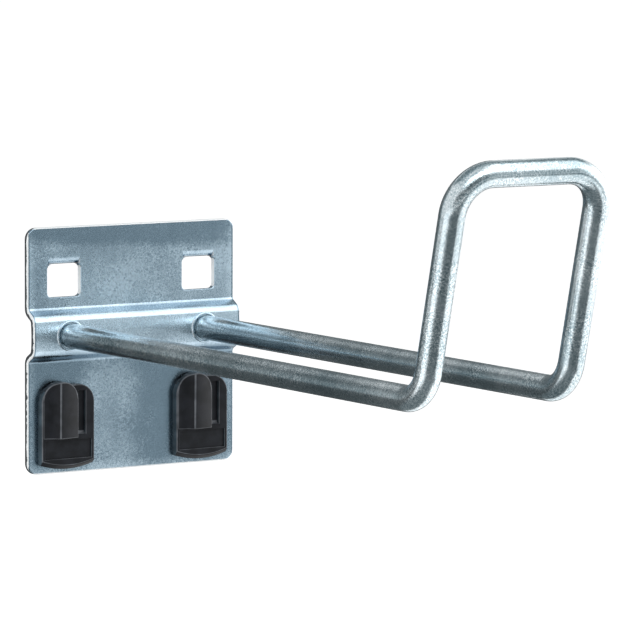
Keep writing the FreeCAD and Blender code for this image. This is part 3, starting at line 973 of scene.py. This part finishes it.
def clip_latch(plate, latch, x):
    """The split boss behind the plate, with a barb at each side."""
    half = latch.width / 2
    middle = -plate.hole_below - plate.pitch
    boss = box("latch", (x - half, -latch.gap, middle - half),
               (x + half, latch.reach, middle + half))
    barb_from = latch.neck + latch.barb
    barb_to = barb_from + latch.land
    edit(boss)
    for depth in (latch.neck, barb_from, barb_to):
        slice_at((0, depth, 0), INWARD)
    barb = latch.panel_hole / 2 + latch.barb
    for depth, reach in ((barb_from, barb), (barb_to, barb), (latch.reach, half - latch.tip_in)):
        select(boss, "VERT", lambda vertex: close_to(vertex.co.y, depth))
        bpy.ops.transform.resize(value=(reach / half, 1, 1), center_override=(x, depth, middle))
    leave_edit()
    split = box("split", (x - latch.split / 2, latch.split_start, middle - latch.width),
                (x + latch.split / 2, 2 * latch.reach, middle + latch.width))
    edit(split)
    select(split, "EDGE", lambda edge: spans(edge, 2) and ends_at(edge, 1, latch.split_start))
    round_edges(HALF_ROUND * latch.split, SPLIT_STEPS)
    leave_edit()
    combine(boss, "DIFFERENCE", split)
    apply_modifier(boss, "BEVEL", width=latch.edge, segments=LATCH_STEPS, limit_method="ANGLE",
                   angle_limit=SHARP_LATCH)
    return boss


class HOOK_OT_stage(bpy.types.Operator):
    """Set the floor, the cards, the lamps and the camera"""
    bl_idname = "hook.stage"
    bl_label = "Stage"

    def execute(self, context):
        floor_paint(context.scene.hook_finishes.floor)
        world_light()
        card("Front card", (-0.75, -2.0, 0.28), UPRIGHT, size=(3.0, 1.16), tone=0.18)
        card("Front side card", (1.15, -2.0, 0.10), UPRIGHT, size=(0.8, 0.8), tone=0.45)
        card("Front floor card", (-0.25, -0.85, -0.29), LEVEL, size=(0.9, 0.94), tone=0.13)
        card("Front side floor card", (0.70, -1.10, -0.29), LEVEL, size=(1.0, 0.8), tone=0.33)
        card("Under card", (-0.18, -0.13, -0.288), LEVEL, size=(0.50, 0.64), tone=0.18)
        card("Back card", (0.05, 1.7, 0.52), UPRIGHT, size=(2.5, 1.44), tone=0.13)
        card("Back side card", (-1.45, 1.7, 0.65), UPRIGHT, size=(0.5, 1.9), tone=0.38)
        card("Back low card", (0.05, 1.69, -0.25), UPRIGHT, size=(2.5, 0.3), tone=0.06)
        card("Back floor card", (-0.15, 0.94, -0.289), LEVEL, size=(2.9, 1.5), tone=0.06)
        card("Ceiling card", (0.6, 1.15, 1.9), LEVEL, size=(4.2, 1.6), tone=0.30)
        card("Overhead card", (0.6, 0.05, 1.9), LEVEL, size=(4.2, 0.6), tone=0.50)
        softbox("Front softbox", (0.0, -1.30, 0.95), size=(1.4, 0.7), watts=8)
        softbox("Key softbox", (0.95, -0.80, 1.10), size=(1.5, 1.4), watts=7)
        softbox("Right softbox", (1.85, -0.43, 0.25), size=(2.4, 1.4), watts=19)
        softbox("Left softbox", (-1.9, 0.0, 0.5), size=(1.4, 1.0), watts=20, mirrored=False)
        photo_camera()
        return {"FINISHED"}


def shown_rays(shader):
    """1 where the camera, or a mirror or a lens in front of it, looks straight at the surface."""
    rays = [shader.add("ShaderNodeLightPath", {}, {}, output=name)
            for name in ("Is Camera Ray", "Is Glossy Ray", "Is Transmission Ray")]
    return rays[0] + rays[1] + rays[2]


def floor_paint(tint):
    """A floor that glows just enough to look as white as the background."""
    deselect_all()
    bpy.ops.mesh.primitive_plane_add(size=FLOOR_SIZE, location=(0, 0, FLOOR_LEVEL))
    floor = settle("Floor")
    material, shader, principled = new_material("Floor paint")
    shader.fill(principled, {
        "Roughness": 0.9,
        "Base Color": opaque(tint),
        "Emission Color": WHITE,
        "Emission Strength": shown_rays(shader) * 0.7,
    })
    floor.data.materials.append(material)


def world_light():
    """A world that looks white, and lights the hook with about a third of that."""
    world = bpy.data.worlds.new("Studio")
    world.use_nodes = True
    bpy.context.scene.world = world
    shader = Shader(world.node_tree)
    shader.fill(world.node_tree.nodes["Background"],
                {"Color": WHITE, "Strength": shown_rays(shader) * 0.65 + 0.35})


def card(name, place, turn, size, tone):
    """A grey card outside the picture that the metal mirrors."""
    deselect_all()
    bpy.ops.mesh.primitive_plane_add(size=1, location=place)
    board = bpy.context.object
    board.name = name
    board.scale = (*size, 1)
    board.rotation_euler = turn
    material, shader, principled = new_material(name)
    shader.fill(principled, {"Base Color": CARD_TINT, "Emission Color": CARD_GLOW,
                             "Emission Strength": tone})
    board.data.materials.append(material)
    board.visible_camera = False
    board.visible_diffuse = False
    board.visible_shadow = False


def put(name, data, place):
    """Put a lamp or a camera in the scene."""
    thing = bpy.data.objects.new(name, data)
    bpy.context.scene.collection.objects.link(thing)
    thing.location = place
    return thing


def softbox(name, place, size, watts, mirrored=True):
    """A soft lamp aimed at the hook, which shows in its metal only where asked."""
    lamp = bpy.data.lights.new(name, "AREA")
    lamp.shape = "RECTANGLE"
    lamp.size, lamp.size_y = size
    lamp.energy = watts
    box_lamp = put(name, lamp, place)
    aim = HOOK_MIDDLE - box_lamp.location
    box_lamp.rotation_euler = aim.to_track_quat("-Z", "Y").to_euler()
    box_lamp.visible_camera = False
    box_lamp.visible_glossy = mirrored


def photo_camera():
    """A long lens to the left of the hook and a little above it."""
    lens = bpy.data.cameras.new("Camera")
    lens.sensor_width = CAMERA_SENSOR
    lens.lens = CAMERA_LENS
    camera = put("Camera", lens, CAMERA_PLACE)
    turn = (Matrix.Rotation(math.radians(CAMERA_PAN), 4, "Z")
            @ Matrix.Rotation(math.radians(90 - CAMERA_DIP), 4, "X")
            @ Matrix.Rotation(math.radians(CAMERA_ROLL), 4, "Z"))
    camera.rotation_euler = turn.to_euler()
    bpy.context.scene.camera = camera


class HOOK_PT_panel(bpy.types.Panel):
    """Lists the hook's pieces and its stage, with their sizes and colours"""
    bl_idname = "HOOK_PT_panel"
    bl_label = "Tool Panel Hook"
    bl_space_type = "VIEW_3D"
    bl_region_type = "UI"
    bl_category = "Hook"

    def draw(self, context):
        for piece in PIECES:
            self.layout.operator(piece.bl_idname)
        for group_name in SCENE_GROUPS:
            group = getattr(context.scene, group_name)
            column = self.layout.column()
            for name in group.bl_rna.properties.keys():
                if name not in ("rna_type", "name"):
                    column.prop(group, name)


PIECES = (HOOK_OT_back_plate, HOOK_OT_wire_loop, HOOK_OT_clips, HOOK_OT_stage)
SCENE_GROUPS = {
    "hook_plate": HookPlateSizes,
    "hook_wire": HookWireSizes,
    "hook_clip": HookClipSizes,
    "hook_latch": HookLatchSizes,
    "hook_finishes": HookFinishes,
}


def register():
    for kind in (*SCENE_GROUPS.values(), *PIECES, HOOK_PT_panel):
        bpy.utils.register_class(kind)
    for name, group in SCENE_GROUPS.items():
        setattr(bpy.types.Scene, name, bpy.props.PointerProperty(type=group))


def unregister():
    for name in SCENE_GROUPS:
        delattr(bpy.types.Scene, name)
    for kind in reversed((*SCENE_GROUPS.values(), *PIECES, HOOK_PT_panel)):
        bpy.utils.unregister_class(kind)


def main():
    register()
    bpy.context.scene.view_settings.view_transform = "Standard"
    bpy.ops.hook.back_plate()
    bpy.ops.hook.wire_loop()
    bpy.ops.hook.clips()
    bpy.ops.hook.stage()


if __name__ == "__main__":
    main()
